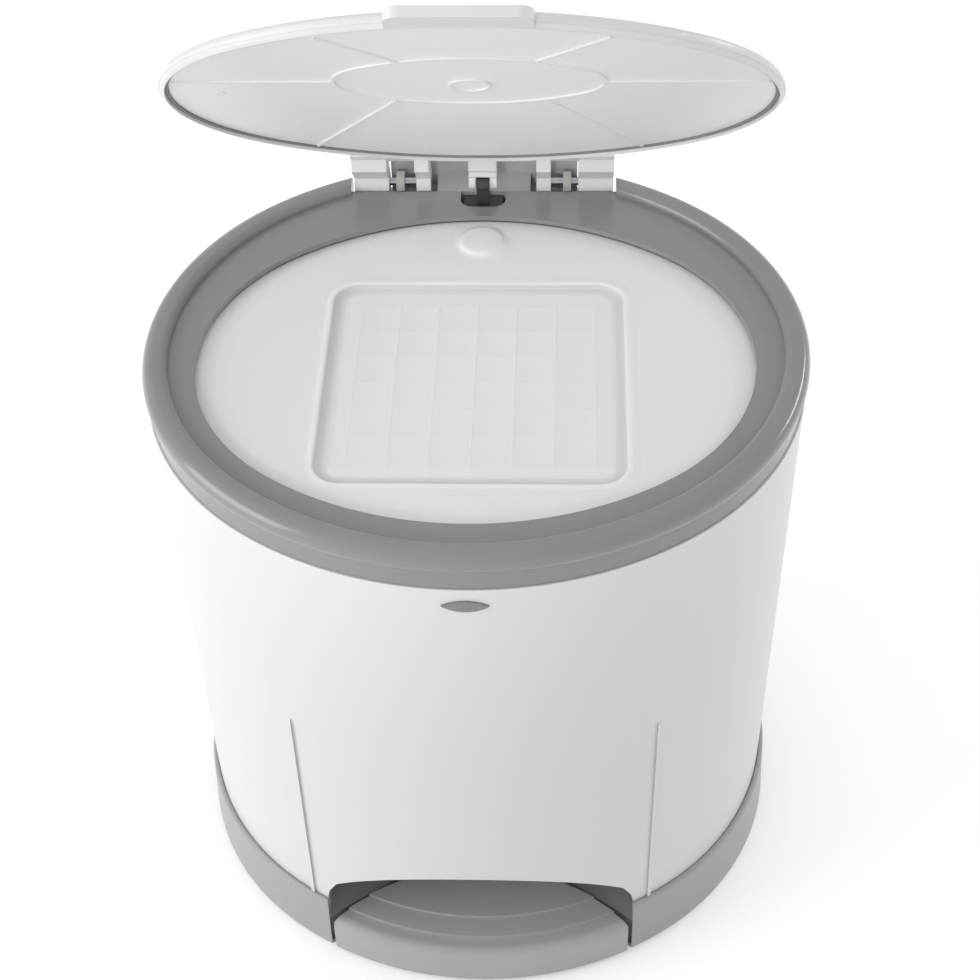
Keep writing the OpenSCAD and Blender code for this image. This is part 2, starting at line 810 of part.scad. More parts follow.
module dome_body(t) {
    around(lid_oval) dome_section(t);
    slab(lid_oval, -dome_flat - 2, lid_skirt_z - t + 1, lid_top_z - lid_skirt_z - 1);
}

// Hinge finger, level under the lid, round at its pin
module finger(x, width) {
    bar_x(x, hinge_y, hinge_z, lug_r, width);
    side_plate(x, width) polygon([[bridge_y1 - 3, lid_skirt_z], [bridge_y1, neck_z], [hinge_y, neck_z],
        [hinge_y, hinge_z + lug_r], [hinge_y - 14, finger_top_z], [bridge_y1 - 3, finger_top_z]]);
}

module tab_plan() {
    y = (front_y + lid_front) - tab_out;
    translate([-tab_half, y + tab_round]) square([2 * tab_half, tab_out + tab_round]);
    translate([tab_round - tab_half, y]) square([2 * (tab_half - tab_round), tab_out]);
    for (s = [-1, 1]) translate([s * (tab_half - tab_round), y + tab_round]) circle(r = tab_round, $fn = 48);
}

module lid_shell() {
    color(white) opened() difference() {
        union() {
            dome_body(0);
            both_sides() finger(lug_x, lug_w);
            both_sides() finger(knuckle_x, knuckle_w);
            // Bridge behind the lid that carries the fingers and the arm
            box_at(-lug_x - lug_w / 2, lug_x + lug_w / 2, bridge_y0, bridge_y1, lid_skirt_z, finger_top_z);
            // Arm that the lift yoke pushes, forked at its end
            side_plate(0, arm_w) {
                translate([arm_low_y, arm_low_z]) circle(r = arm_end_r, $fn = 48);
                translate([arm_low_y - arm_end_r, arm_low_z])
                    square([2 * arm_end_r, finger_top_z - arm_low_z]);
                translate([slot_y0 + 0.6, arm_low_z + arm_face])
                    square([arm_end_r, finger_top_z - arm_low_z - arm_face]);
                translate([bridge_y1 - 3, neck_z]) square([slot_y0 - bridge_y1 + 6, finger_top_z - neck_z]);
            }
            translate([0, 0, tab_z]) linear_extrude(tab_t) tab_plan();
        }
        dome_body(lid_wall);
        both_sides() bar_x(pin_x, hinge_y, hinge_z, pin_r + run_gap, pin_len + 2);
        bar_x(0, arm_low_y, arm_low_z, arm_pin_r + run_gap / 2, arm_w + 2);
        box_at(-fork_w / 2, fork_w / 2, arm_low_y - fork_room, hinge_y, 0, arm_low_z + fork_room);
        box_at(-fork_w / 2, fork_w / 2, slot_y0, hinge_y, 0, arm_low_z + arm_face);
    }
}

module lid_arm_pin() {
    color(steel) opened() bar_x(0, arm_low_y, arm_low_z, arm_pin_r, arm_w);
}

// Raised strip between two points of the plan
module strip(p, q, width, h) {
    run = norm(q - p);
    translate([p[0], p[1], 0]) rotate([0, 0, atan2(q[1] - p[1], q[0] - p[0])])
        translate([0, -width / 2, 0]) cube([run, width, h]);
}

module lid_panel() {
    color(white) opened() {
        slab(lid_oval, -panel_inset, panel_z, panel_t);
        intersection() {
            slab(lid_oval, -panel_inset - 1, panel_z - rib_h, rib_h + 1);
            translate([0, 0, panel_z - rib_h]) union() {
                linear_extrude(rib_h + 1) difference() {
                    oval(rib_oval);
                    oval(rib_oval, -rib_w);
                }
                both_sides() for (r = rib_ends) strip(r[0], r[1], rib_w, rib_h + 1);
                // Round mark where the plastic ran in
                translate([0, rib_oval[2] + 6, 0]) difference() {
                    cylinder(r = 9, h = rib_h + 1, $fn = arc_fn);
                    translate([0, 0, -1]) cylinder(r = 7.6, h = rib_h + 3, $fn = arc_fn);
                }
            }
        }
    }
}

module lid_seal() {
    color(dark) opened() translate([0, 0, panel_z - seal_drop]) linear_extrude(seal_drop + seal_rise)
        difference() {
            oval(lid_oval, -lid_wall - seal_gap);
            oval(lid_oval, -lid_wall - seal_gap - seal_w);
        }
}

module rounded_plan(a, b, r) {
    square([2 * a, 2 * (b - r)], center = true);
    square([2 * (a - r), 2 * b], center = true);
    for (x = [r - a, a - r]) for (y = [r - b, b - r]) translate([x, y]) circle(r = r, $fn = 48);
}

module flap_plate() {
    floor_z = flap_top_z - tray_depth;
    color(white) difference() {
        union() {
            difference() {
                union() {
                    slab(flap_oval, 0, flap_under_z, flap_t);
                    translate([0, tray_y, floor_z - tray_skin]) linear_extrude(tray_skin + tray_depth - 0.5)
                        rounded_plan(tray_a + tray_skin, tray_b + tray_skin, tray_round + tray_skin);
                }
                translate([0, tray_y, floor_z]) linear_extrude(big) rounded_plan(tray_a, tray_b, tray_round);
                translate([0, tray_y, flap_top_z - tray_lip]) linear_extrude(big)
                    rounded_plan(tray_a + tray_slope, tray_b + tray_slope, tray_round + tray_slope);
            }
            // Faint grid on the tray's floor
            translate([0, tray_y, floor_z - 0.5]) for (i = [-3:3]) {
                box_at(i * grid_step - grid_w / 2, i * grid_step + grid_w / 2,
                    8 - tray_b, tray_b - 8, 0, grid_h + 0.5);
                box_at(8 - tray_a, tray_a - 8, i * grid_step - grid_w / 2,
                    i * grid_step + grid_w / 2, 0, grid_h + 0.5);
            }
            translate([0, bump_y, flap_top_z - 1])
                cylinder(r1 = bump_r, r2 = bump_r - 1.5, h = bump_h + 1, $fn = arc_fn);
            // Barrels and their webs
            both_sides() {
                bar_x(barrel_x, flap_hinge_y, flap_hinge_z, barrel_r, barrel_w);
                side_plate(barrel_x, barrel_w) polygon([[flap_hinge_y - 14, flap_under_z + 0.5],
                    [flap_hinge_y - 8, flap_under_z + 0.5], [flap_hinge_y, flap_hinge_z + barrel_r],
                    [flap_hinge_y - 1, flap_hinge_z - 3], [flap_hinge_y - 4, flap_hinge_z - 2]]);
            }
            // Ears of the crank
            both_sides() {
                bar_x(ear_x, crank_y, crank_z, ear_r, ear_w);
                box_at(ear_x - ear_w / 2, ear_x + ear_w / 2, crank_y - ear_r, crank_y + ear_r,
                    crank_z, flap_under_z + 0.5);
            }
        }
        both_sides() bar_x(barrel_x, flap_hinge_y, flap_hinge_z, pin_r + run_gap, 40);
        bar_x(0, crank_y, crank_z, pin_r + run_gap / 2, 4 * ear_x);
    }
}

module flap_seal() {
    color(dark) translate([0, 0, flap_top_z]) linear_extrude(flap_seal_t) difference() {
        oval(flap_oval, 0);
        oval(mouth, 0.8);
    }
}

module flap_crank_pin() {
    color(steel) bar_x(0, crank_y, crank_z, pin_r, 2 * ear_x + ear_w);
}

module lift_rod() {
    color(steel) upright(0, rod_y, foot_tip_z + foot_tip_h + foot_seat_h, rod_r,
        rod_top_z - foot_tip_z - foot_tip_h - foot_seat_h);
}

module rod_foot() {
    z = foot_tip_z + foot_tip_h;
    color(dark) difference() {
        union() {
            upright(0, rod_y, foot_tip_z, 2.5, foot_tip_h + 1);
            upright(0, rod_y, z, rod_foot_r, 11);
        }
        upright(0, rod_y, z + foot_seat_h, rod_r + run_gap / 2, 20);
    }
}

// Side view of a slot whose ends are round, from y0 to y1 along the pin's centre
module slot_view(y0, y1, z, r) {
    translate([y0, z]) circle(r = r, $fn = 48);
    translate([y1, z]) circle(r = r, $fn = 48);
    translate([y0, z - r]) square([y1 - y0, 2 * r]);
}

module lift_yoke() {
    pin_y0 = hinge_y - arm_r - 0.15;
    pin_y1 = arm_y + 0.15;
    slot_y = flap_hinge_y - crank_r;
    slot_end = flap_hinge_y - crank_r * cos(flap_deg - crank_deg);
    low = crank_z - 5.2;
    bar_z = rod_top_z - 6;
    color(dark) difference() {
        union() {
            side_plate(0, 2 * blade_half) {
                slot_view(pin_y0, pin_y1, arm_z, eye_r);
                translate([blade_y, bar_z]) square([5, arm_z - bar_z]);
                translate([blade_y, bar_z]) square([rod_y - blade_y, 8]);
                translate([slot_y - 1.8, low]) square([slot_end - slot_y + 6.6, crank_z + 4.2 - low]);
                translate([slot_y, low]) square([blade_y + 1 - slot_y, 4.4]);
            }
            upright(0, rod_y, rod_top_z - 10, socket_r, 14);
            // Flange that shows in the slot
            box_at(1.4 - slot_half, slot_half - 1.4, slot_y0 + 1.2, slot_y1 - 1.2,
                band_z - 5, band_under_z - gap);
        }
        upright(0, rod_y, 0, rod_r + run_gap / 2, rod_top_z);
        side_plate(0, 4 * blade_half) slot_view(pin_y0, pin_y1, arm_z, arm_pin_r + 0.3);
        // Fork of the flap's crank pin, with its upper prong short so that the dropping flap passes
        side_plate(0, 4 * blade_half) {
            translate([slot_end + pin_r + 0.3 - 20, crank_z - pin_r - 0.8]) square([20, 2 * pin_r + 1.1]);
            translate([slot_y - 4, crank_z]) square([flap_hinge_y - 9.4 - slot_y + 4, 8]);
        }
    }
}

// Plan of the tread: the base's outline in front, hollow at the back
module pad_plan(inset, u) {
    intersection() {
        oval(tower, u);
        translate([0, pad_back_y]) circle(r = pad_back_r - inset, $fn = arc_fn);
        square([2 * (pad_half - inset), big * 2], center = true);
    }
}

module foot_pedal() {
    top = pedal_top_z - 2 * step_h;
    pad_u = ring_foot_u - pad_round;
    color(grey) difference() {
        union() {
            difference() {
                union() {
                    // Front tread with its rounded edge
                    intersection() {
                        around(tower) union() {
                            translate([-12, pad_under_z])
                                square([12 + ring_foot_u, top - pad_round - pad_under_z]);
                            translate([-12, pad_under_z]) square([12 + pad_u, top - pad_under_z]);
                            translate([pad_u, top - pad_round]) circle(r = pad_round, $fn = 48);
                        }
                        linear_extrude(big) pad_plan(0, 5);
                    }
                    translate([0, 0, pad_under_z]) linear_extrude(top - pad_under_z) pad_plan(0, -8);
                    translate([0, 0, pad_under_z]) linear_extrude(top + step_h - pad_under_z)
                        pad_plan(0, -tread_w);
                    translate([0, 0, pad_under_z]) linear_extrude(top + 2 * step_h - pad_under_z)
                        pad_plan(0, -2.1 * tread_w);
                }
                linear_extrude(top - pad_skin) pad_plan(pad_skin, -pad_skin);
            }
            // Lever from the tread to the lift rod
            box_at(-lever_half, lever_half, -rim_d / 2 + 4, rod_y + 4, lever_z, lever_z + lever_t);
            both_sides() box_at(lever_half - 3, lever_half, pad_back_y + pad_back_r - 4, rod_y - 10,
                lever_z, lever_z + lever_t + 6);
            bar_x(0, axle_y, axle_z, hub_r, 2 * bracket_x - bracket_t - 2);
        }
        bar_x(0, axle_y, axle_z, axle_r + run_gap, 4 * bracket_x);
    }
}

base_tray();
rubber_feet();
body_shell();
front_badge();
pedal_hood();
inner_floor();
rod_duct();
bag_hoop();
rim_ring();
hinge_block();
hinge_pins();
flap_pins();
pedal_axle();
axle_clips();
base_screws();
hinge_screws();
floor_screws();
lid_shell();
lid_panel();
lid_seal();
lid_arm_pin();
flap_plate();
flap_seal();
flap_crank_pin();
lift_rod();
lift_yoke();
rod_foot();
foot_pedal();
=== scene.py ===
# Looks for the pedal nappy bin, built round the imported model.
import math

import bmesh
import bpy
from mathutils import Matrix, Vector


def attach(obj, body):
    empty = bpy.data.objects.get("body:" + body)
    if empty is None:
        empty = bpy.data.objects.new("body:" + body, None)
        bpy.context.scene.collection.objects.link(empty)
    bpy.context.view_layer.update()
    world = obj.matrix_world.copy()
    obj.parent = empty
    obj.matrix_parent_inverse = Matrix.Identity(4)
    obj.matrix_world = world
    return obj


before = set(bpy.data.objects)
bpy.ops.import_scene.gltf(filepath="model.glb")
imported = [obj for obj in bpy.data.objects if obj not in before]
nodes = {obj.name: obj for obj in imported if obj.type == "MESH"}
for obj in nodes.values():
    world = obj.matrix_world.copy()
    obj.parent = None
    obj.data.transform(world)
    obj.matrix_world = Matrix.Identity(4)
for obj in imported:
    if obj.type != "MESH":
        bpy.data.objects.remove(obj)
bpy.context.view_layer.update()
scene = bpy.context.scene


# Camera at the photograph's place and angle, in metres and radians

LOOK_AT = Vector((0.0, 0.0, 0.151))
DISTANCE = 1.010
ELEVATION = math.radians(45.91)
TURN = -0.055
ROLL = -0.032
SENSOR_WIDTH_MM = 36
LENS_MM = 73.43
SHIFT = (0.00735, 0.0885)
NEAREST = 0.05


def make_camera():
    """Camera that looks at the bin from the front and above, slightly turned and rolled."""
    tilt_sin, tilt_cos = math.sin(ELEVATION), math.cos(ELEVATION)
    right = Vector((math.cos(TURN), -math.sin(TURN), 0))
    up = Vector((tilt_sin * math.sin(TURN), tilt_sin * math.cos(TURN), tilt_cos))
    back = right.cross(up)
    side = right * math.cos(ROLL) + up * math.sin(ROLL)
    head = up * math.cos(ROLL) - right * math.sin(ROLL)
    data = bpy.data.cameras.new("camera")
    data.sensor_width = SENSOR_WIDTH_MM
    data.lens = LENS_MM
    data.shift_x, data.shift_y = SHIFT
    data.clip_start = NEAREST
    camera = bpy.data.objects.new("camera", data)
    scene.collection.objects.link(camera)
    turn = Matrix((side, head, back)).transposed().to_4x4()
    camera.matrix_world = Matrix.Translation(LOOK_AT + back * DISTANCE) @ turn
    scene.camera = camera


make_camera()


# Material building blocks. Scales are in features per metre, depths and radii in metres.

MIX_A, MIX_B, MIX_RESULT = 6, 7, 2
FLOW_SCALE = 7.0
GLOSS_SCALE = 60.0
SCRATCH_SCALE = (40, 700, 300)
SCRATCH_TURN = (0.1, 0.2, 0.5)
SCRATCH_DEPTH = 0.00004
GRAIN_STRENGTH = 0.35
COAT_ROUGHNESS = 0.12
BRUSH_DEPTH = 0.00004
PIN_EDGE = 0.0003
DUST_SCALE = 25.0
RUBBER_GRAIN_SCALE = 1800.0
RUBBER_GRAIN_DEPTH = 0.0001


class Nodes:
    """Small helper that adds shader nodes and links them."""

    def __init__(self, name):
        self.mat = bpy.data.materials.new(name)
        self.mat.use_nodes = True
        self.tree = self.mat.node_tree
        self.bsdf = self.tree.nodes["Principled BSDF"]

    def add(self, kind, **values):
        """New node, with its settings or input values."""
        node = self.tree.nodes.new(kind)
        for key, value in values.items():
            if hasattr(node, key) and key not in node.inputs:
                setattr(node, key, value)
            else:
                node.inputs[key].default_value = value
        return node

    def link(self, source, output, target, into):
        self.tree.links.new(source.outputs[output], target.inputs[into])

    def noise(self, scale, detail, rough):
        """Noise in the piece's own coordinates."""
        coord = self.add("ShaderNodeTexCoord")
        node = self.add("ShaderNodeTexNoise", Scale=scale, Detail=detail, Roughness=rough)
        self.link(coord, "Object", node, "Vector")
        return node

    def stretched_noise(self, scale, detail, rough, turn=(0, 0, 0)):
        """Noise drawn out into lines by a different scale along each axis."""
        coord = self.add("ShaderNodeTexCoord")
        stretch = self.add("ShaderNodeMapping")
        stretch.inputs["Scale"].default_value = scale
        stretch.inputs["Rotation"].default_value = turn
        self.link(coord, "Object", stretch, "Vector")
        lines = self.add("ShaderNodeTexNoise", Scale=1.0, Detail=detail, Roughness=rough)
        self.link(stretch, "Vector", lines, "Vector")
        return lines

    def rescale(self, noise, low, high, to_low, to_high):
        """Noise between low and high, spread over the range from to_low to to_high."""
        node = self.add("ShaderNodeMapRange")
        node.inputs["From Min"].default_value = low
        node.inputs["From Max"].default_value = high
        node.inputs["To Min"].default_value = to_low
        node.inputs["To Max"].default_value = to_high
        self.link(noise, "Fac", node, "Value")
        return node

    def tint(self, noise, low, high, dark, light):
        """Base colour that drifts between two close shades."""
        mix = self.add("ShaderNodeMix", data_type="RGBA")
        mix.inputs[MIX_A].default_value = (*dark, 1)
        mix.inputs[MIX_B].default_value = (*light, 1)
        self.link(self.rescale(noise, low, high, 0.0, 1.0), 0, mix, 0)
        self.link(mix, MIX_RESULT, self.bsdf, "Base Color")


def moulded(name, dark, light, rough, grain, depth, edge=0.0006, coat=0.0, scratches=0.0):
    """Injection moulded plastic: faint flow marks, a fine grain, soft edges and light handling wear."""
    n = Nodes(name)
    n.tint(n.noise(FLOW_SCALE, detail=5.0, rough=0.6), 0.3, 0.7, dark, light)
    gloss = n.noise(GLOSS_SCALE, detail=6.0, rough=0.65)
    n.link(n.rescale(gloss, 0.25, 0.75, rough - 0.02, rough + 0.03), 0, n.bsdf, "Roughness")
    bevel = n.add("ShaderNodeBevel", samples=6, Radius=edge)
    last = n.add("ShaderNodeBump", Strength=GRAIN_STRENGTH, Distance=depth)
    n.link(n.noise(grain, detail=3.0, rough=0.5), "Fac", last, "Height")
    n.link(bevel, "Normal", last, "Normal")
    if scratches:
        lines = n.stretched_noise(SCRATCH_SCALE, detail=2.0, rough=0.4, turn=SCRATCH_TURN)
        scuff = n.add("ShaderNodeBump", Strength=scratches, Distance=SCRATCH_DEPTH)
        scuff.invert = True
        n.link(n.rescale(lines, 0.66, 0.72, 0.0, 1.0), 0, scuff, "Height")
        n.link(last, "Normal", scuff, "Normal")
        last = scuff
    n.link(last, "Normal", n.bsdf, "Normal")
    n.bsdf.inputs["Coat Weight"].default_value = coat
    n.bsdf.inputs["Coat Roughness"].default_value = COAT_ROUGHNESS
    return n.mat


def brushed(name, dark, light, rough, scale):
    """Steel with fine lines drawn along one direction."""
    n = Nodes(name)
    lines = n.stretched_noise(scale, detail=4.0, rough=0.6)
    n.tint(lines, 0.3, 0.7, dark, light)
    n.link(n.rescale(lines, 0.3, 0.7, rough - 0.06, rough + 0.08), 0, n.bsdf, "Roughness")
    bump = n.add("ShaderNodeBump", Strength=0.3, Distance=BRUSH_DEPTH)
    bevel = n.add("ShaderNodeBevel", samples=4, Radius=PIN_EDGE)
    n.link(lines, "Fac", bump, "Height")
    n.link(bevel, "Normal", bump, "Normal")
    n.link(bump, "Normal", n.bsdf, "Normal")
    n.bsdf.inputs["Metallic"].default_value = 1.0
    return n.mat


def rubber(name, dark, light):
    """Dull rubber with a little dust on it."""
    n = Nodes(name)
    dust = n.noise(DUST_SCALE, detail=6.0, rough=0.7)
    n.tint(dust, 0.35, 0.75, dark, light)
    n.link(n.rescale(dust, 0.3, 0.7, 0.62, 0.82), 0, n.bsdf, "Roughness")
    bump = n.add("ShaderNodeBump", Strength=0.5, Distance=RUBBER_GRAIN_DEPTH)
    n.link(n.noise(RUBBER_GRAIN_SCALE, detail=2.0, rough=0.5), "Fac", bump, "Height")
    n.link(bump, "Normal", n.bsdf, "Normal")
    n.bsdf.inputs["Sheen Weight"].default_value = 0.1
    return n.mat


body_white = moulded("body_white", (0.735, 0.735, 0.73), (0.745, 0.745, 0.74),
                     rough=0.32, grain=900.0, depth=0.000004, edge=0.0003, coat=0.1)
lid_white = moulded("lid_white", (0.73, 0.73, 0.725), (0.745, 0.745, 0.74),
                    rough=0.30, grain=900.0, depth=0.000006, edge=0.0003)
# Lighter than the lid shell's white: painted light that makes up for the light the downward-facing panel
# lacks
panel_white_lightened = moulded("panel_white_lightened", (0.84, 0.845, 0.83), (0.86, 0.865, 0.85),
                      rough=0.36, grain=1100.0, depth=0.00001, scratches=0.1)
flap_white = moulded("flap_white", (0.785, 0.787, 0.775), (0.80, 0.802, 0.79),
                     rough=0.33, grain=1000.0, depth=0.00001, edge=0.0001, scratches=0.1)
# Lighter than the flap's white: painted highlight along the tray border's top, with painted shade
# multiplied in lower down
tray_white_painted_light = moulded("tray_white_painted_light", (0.844, 0.846, 0.833), (0.86, 0.862, 0.849),
                     rough=0.33, grain=1000.0, depth=0.00001, edge=0.0001)
hinge_grey = moulded("hinge_grey", (0.42, 0.42, 0.412), (0.44, 0.44, 0.432),
                     rough=0.2, grain=300.0, depth=0.000006, edge=0.0002)
rim_grey = moulded("rim_grey", (0.246, 0.247, 0.239), (0.256, 0.256, 0.248),
                   rough=0.2, grain=300.0, depth=0.000006, edge=0.0003, coat=0.3)
base_grey = moulded("base_grey", (0.365, 0.365, 0.36), (0.385, 0.385, 0.38),
                    rough=0.34, grain=500.0, depth=0.00001, scratches=0.1)
pedal_grey = moulded("pedal_grey", (0.415, 0.415, 0.407), (0.445, 0.445, 0.437),
                     rough=0.40, grain=1200.0, depth=0.00004, scratches=0.5)
badge_grey = moulded("badge_grey", (0.22, 0.22, 0.22), (0.25, 0.25, 0.25),
                     rough=0.3, grain=900.0, depth=0.00001)
inside_dark = moulded("inside_dark", (0.045, 0.045, 0.045), (0.06, 0.06, 0.06),
                      rough=0.5, grain=900.0, depth=0.00003)
hood_grey = moulded("hood_grey", (0.46, 0.46, 0.455), (0.49, 0.49, 0.485),
                    rough=0.5, grain=900.0, depth=0.00003)
inner_white = moulded("inner_white", (0.75, 0.75, 0.74), (0.78, 0.78, 0.77),
                      rough=0.4, grain=900.0, depth=0.00002)
lid_rubber = rubber("lid_rubber", (0.20, 0.20, 0.195), (0.26, 0.26, 0.25))
seal_rubber = rubber("seal_rubber", (0.09, 0.09, 0.088), (0.12, 0.12, 0.118))
foot_rubber = rubber("foot_rubber", (0.03, 0.03, 0.03), (0.07, 0.07, 0.065))
pin_steel = brushed("pin_steel", (0.50, 0.51, 0.53), (0.64, 0.65, 0.67),
                    rough=0.3, scale=(900, 60, 900))
rod_steel = brushed("rod_steel", (0.50, 0.51, 0.53), (0.64, 0.65, 0.67),
                    rough=0.28, scale=(900, 900, 40))
screw_steel = brushed("screw_steel", (0.42, 0.43, 0.44), (0.60, 0.61, 0.62),
                      rough=0.34, scale=(500, 500, 300))

FINISH = {
    "base_tray": base_grey, "rubber_feet": foot_rubber, "body_shell": body_white,
    "front_badge": badge_grey, "pedal_hood": hood_grey, "inner_floor": inner_white,
    "rod_duct": inner_white, "bag_hoop": inner_white, "rim_ring": rim_grey,
    "hinge_block": hinge_grey, "hinge_pins": pin_steel, "flap_pins": pin_steel,
    "pedal_axle": pin_steel, "axle_clips": screw_steel, "base_screws": screw_steel,
    "hinge_screws": screw_steel, "floor_screws": screw_steel, "lid_shell": lid_white,
    "lid_panel": panel_white_lightened, "lid_seal": lid_rubber, "lid_arm_pin": pin_steel,
    "flap_plate": flap_white, "flap_seal": seal_rubber, "flap_crank_pin": pin_steel,
    "lift_rod": rod_steel, "lift_yoke": inside_dark, "rod_foot": inside_dark,
    "foot_pedal": pedal_grey,
}
for name, material in FINISH.items():
    mesh = nodes[name].data
    if mesh.materials:
        for i in range(len(mesh.materials)):
            mesh.materials[i] = material
    else:
        mesh.materials.append(material)


# Sizes that the added pieces share with the part's source, in metres and radians

MM = 0.001
HINGE = Vector((0.0, 0.124, 0.3035))
LID_OPEN = math.radians(47)
PANEL_Z = 0.3094
FLAP_TOP = 0.2982
BUMP_MIDDLE = (0.0, 0.081)

# Rounded outlines on the flap, in millimetres: half width, front, back and corner radius

TRAY_COVER = (72.8, -96.8, 53.4, 17)
TRAY_CUT = (71.4, -95.4, 49.4, 16.4)
TRAY_EDGE = (67.1, -87.5, 48.0, 12)

# The tray border's section in millimetres: distance out from an outline, height from the flap's top

BORDER_SKIRT = ((0.6, -0.15), (0.3, -0.02), (0.0, 0.03))
BORDER_WALL = ((4.2, 0.03), (3.6, 0.06), (3.0, 0.14), (2.4, 0.24), (1.8, 0.30), (1.3, 0.30), (0.8, 0.21),
               (0.35, 0.0), (0.0, -0.30), (-0.35, -0.75), (-0.8, -1.20), (-1.5, -1.60), (-2.4, -1.92),
               (-3.5, -2.12), (-4.8, -2.25), (-6.2, -2.34), (-7.2, -2.42), (-7.6, -2.50), (-7.6, -2.65))
BORDER_BACK = ((-2.35, -2.65), (-2.35, -1.05), (0.05, -1.05), (0.05, -0.15))
CORNER_STEPS = 12

# Painted shade and painted highlight on the tray border, by height: millimetres from the flap's top,
# share of the unshaded colour

TRAY_SHADE_AND_HIGHLIGHT = ((-2.32, 0.93), (-2.25, 0.88), (-2.12, 0.82), (-1.92, 0.76), (-1.1, 0.72), (-0.3, 0.75),
        (-0.05, 0.9), (0.04, 0.93), (0.19, 0.99), (0.32, 1.0))

# Tray floor with its raised lines, in millimetres

FLOOR_INSET = 2.1
FLOOR_DEPTH = 2.3
FLOOR_THICKNESS = 0.32
LINE_STEP = 18
LINES_EACH_WAY = 3
LINE_HALF_WIDTH = 1.1
LINE_SECTION = (-1.1, -0.7, -0.35, 0, 0.35, 0.7, 1.1)
LINE_RISE_ALONG = 0.20
LINE_RISE_ACROSS = 0.09
LINES_END = 57
LINES_FADE = 4

# Dome over the flap's bump in millimetres: radius, height from the flap's top

BUMP = ((0.0, 2.45), (3.0, 2.44), (6.0, 2.38), (8.0, 2.28), (9.2, 2.12), (9.9, 1.9), (10.4, 1.55),
        (10.8, 1.1), (11.2, 0.7), (11.8, 0.4), (12.6, 0.17), (13.4, 0.05), (14.2, -0.03), (14.4, -0.1),
        (0.0, -0.1))
BUMP_STEPS = 64

# Ring mark on the lid's panel, with the lid still closed, in metres: radius, height

MARK_MIDDLE = (-0.106, -0.022)
MARK = ((0.0012, PANEL_Z + 0.00005), (0.0013, PANEL_Z - 0.0002), (0.0017, PANEL_Z - 0.0003),
        (0.0021, PANEL_Z - 0.0002), (0.0022, PANEL_Z + 0.00005))
MARK_STEPS = 40


def paint_tray_shade_and_highlight(material, stops):
    """Painted shade: darker colour down the slopes into the tray, by height, and the full, lighter
    colour along the top as a painted highlight.
    """
    tree = material.node_tree
    bsdf = tree.nodes["Principled BSDF"]
    unshaded = bsdf.inputs["Base Color"].links[0].from_socket
    lowest, highest = stops[0][0], stops[-1][0]
    coord = tree.nodes.new("ShaderNodeTexCoord")
    split = tree.nodes.new("ShaderNodeSeparateXYZ")
    tree.links.new(coord.outputs["Object"], split.inputs[0])
    height = tree.nodes.new("ShaderNodeMapRange")
    height.inputs["From Min"].default_value = FLAP_TOP + lowest * MM
    height.inputs["From Max"].default_value = FLAP_TOP + highest * MM
    tree.links.new(split.outputs["Z"], height.inputs["Value"])
    ramp = tree.nodes.new("ShaderNodeValToRGB")
    tree.links.new(height.outputs[0], ramp.inputs[0])
    for i, (z, level) in enumerate(stops):
        place = (z - lowest) / (highest - lowest)
        if i in (0, len(stops) - 1):
            stop = ramp.color_ramp.elements[0 if i == 0 else -1]
            stop.position = place
        else:
            stop = ramp.color_ramp.elements.new(place)
        stop.color = (level, level, level, 1)
    mix = tree.nodes.new("ShaderNodeMix")
    mix.data_type = "RGBA"
    mix.blend_type = "MULTIPLY"
    mix.inputs[0].default_value = 1.0
    tree.links.new(unshaded, mix.inputs[MIX_A])
    tree.links.new(ramp.outputs[0], mix.inputs[MIX_B])
    tree.links.new(mix.outputs[MIX_RESULT], bsdf.inputs["Base Color"])


# Paints shade into the tray's slopes and a highlight along the border's top, by height
paint_tray_shade_and_highlight(tray_white_painted_light, TRAY_SHADE_AND_HIGHLIGHT)


# Added pieces

def add_piece(name, verts, faces, material, body, place=None):
    """Smooth closed mesh that rides on a body, moved by a matrix first where one is given."""
    mesh = bpy.data.meshes.new(name)
    mesh.from_pydata([tuple(v) for v in verts], [], faces)
    if place:
        mesh.transform(place)
    bm = bmesh.new()
    bm.from_mesh(mesh)
    bmesh.ops.recalc_face_normals(bm, faces=bm.faces)
    bm.to_mesh(mesh)
    bm.free()
    mesh.polygons.foreach_set("use_smooth", [True] * len(mesh.polygons))
    mesh.materials.append(material)
    obj = bpy.data.objects.new(name, mesh)
    scene.collection.objects.link(obj)
    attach(obj, body)


def swept(rings):
    """Closed tube through rings of points, the last ring joined to the first."""
    count, width = len(rings), len(rings[0])
    verts = [p for ring in rings for p in ring]
    faces = []
    for i in range(count):
        k = (i + 1) % count
        for j in range(width):
            m = (j + 1) % width
            faces.append((i * width + j, k * width + j, k * width + m, i * width + m))
    return verts, faces


def around_circle(middle, radius, turn):
    """Point of a circle at a share of a full turn."""
    angle = 2 * math.pi * turn
    return middle[0] + radius * math.cos(angle), middle[1] + radius * math.sin(angle)


def outline_point(outline, out, corner, angle):
    """Point beside a rounded corner of an outline, in metres."""
    half, front, back, rounding = outline
    cx = corner[0] * (half - rounding)
    cy = back - rounding if corner[1] > 0 else front + rounding
    return (cx + (rounding + out) * math.cos(angle)) * MM, (cy + (rounding + out) * math.sin(angle)) * MM


def make_tray_border():
    """Steep inner wall with a soft foot, and the rounded line that runs round it."""
    section = [(TRAY_COVER, out, z) for out, z in BORDER_SKIRT]
    section += [(TRAY_EDGE, out, z) for out, z in BORDER_WALL]
    section += [(TRAY_CUT, out, z) for out, z in BORDER_BACK]
    rings = []
    for corner, start in (((1, 1), 0), ((-1, 1), 90), ((-1, -1), 180), ((1, -1), 270)):
        for i in range(CORNER_STEPS + 1):
            angle = math.radians(start + 90 * i / CORNER_STEPS)
            rings.append([(*outline_point(outline, out, corner, angle), FLAP_TOP + z * MM)
                          for outline, out, z in section])
    verts, faces = swept(rings)
    add_piece("flap_tray_border", verts, faces, tray_white_painted_light, "flap")


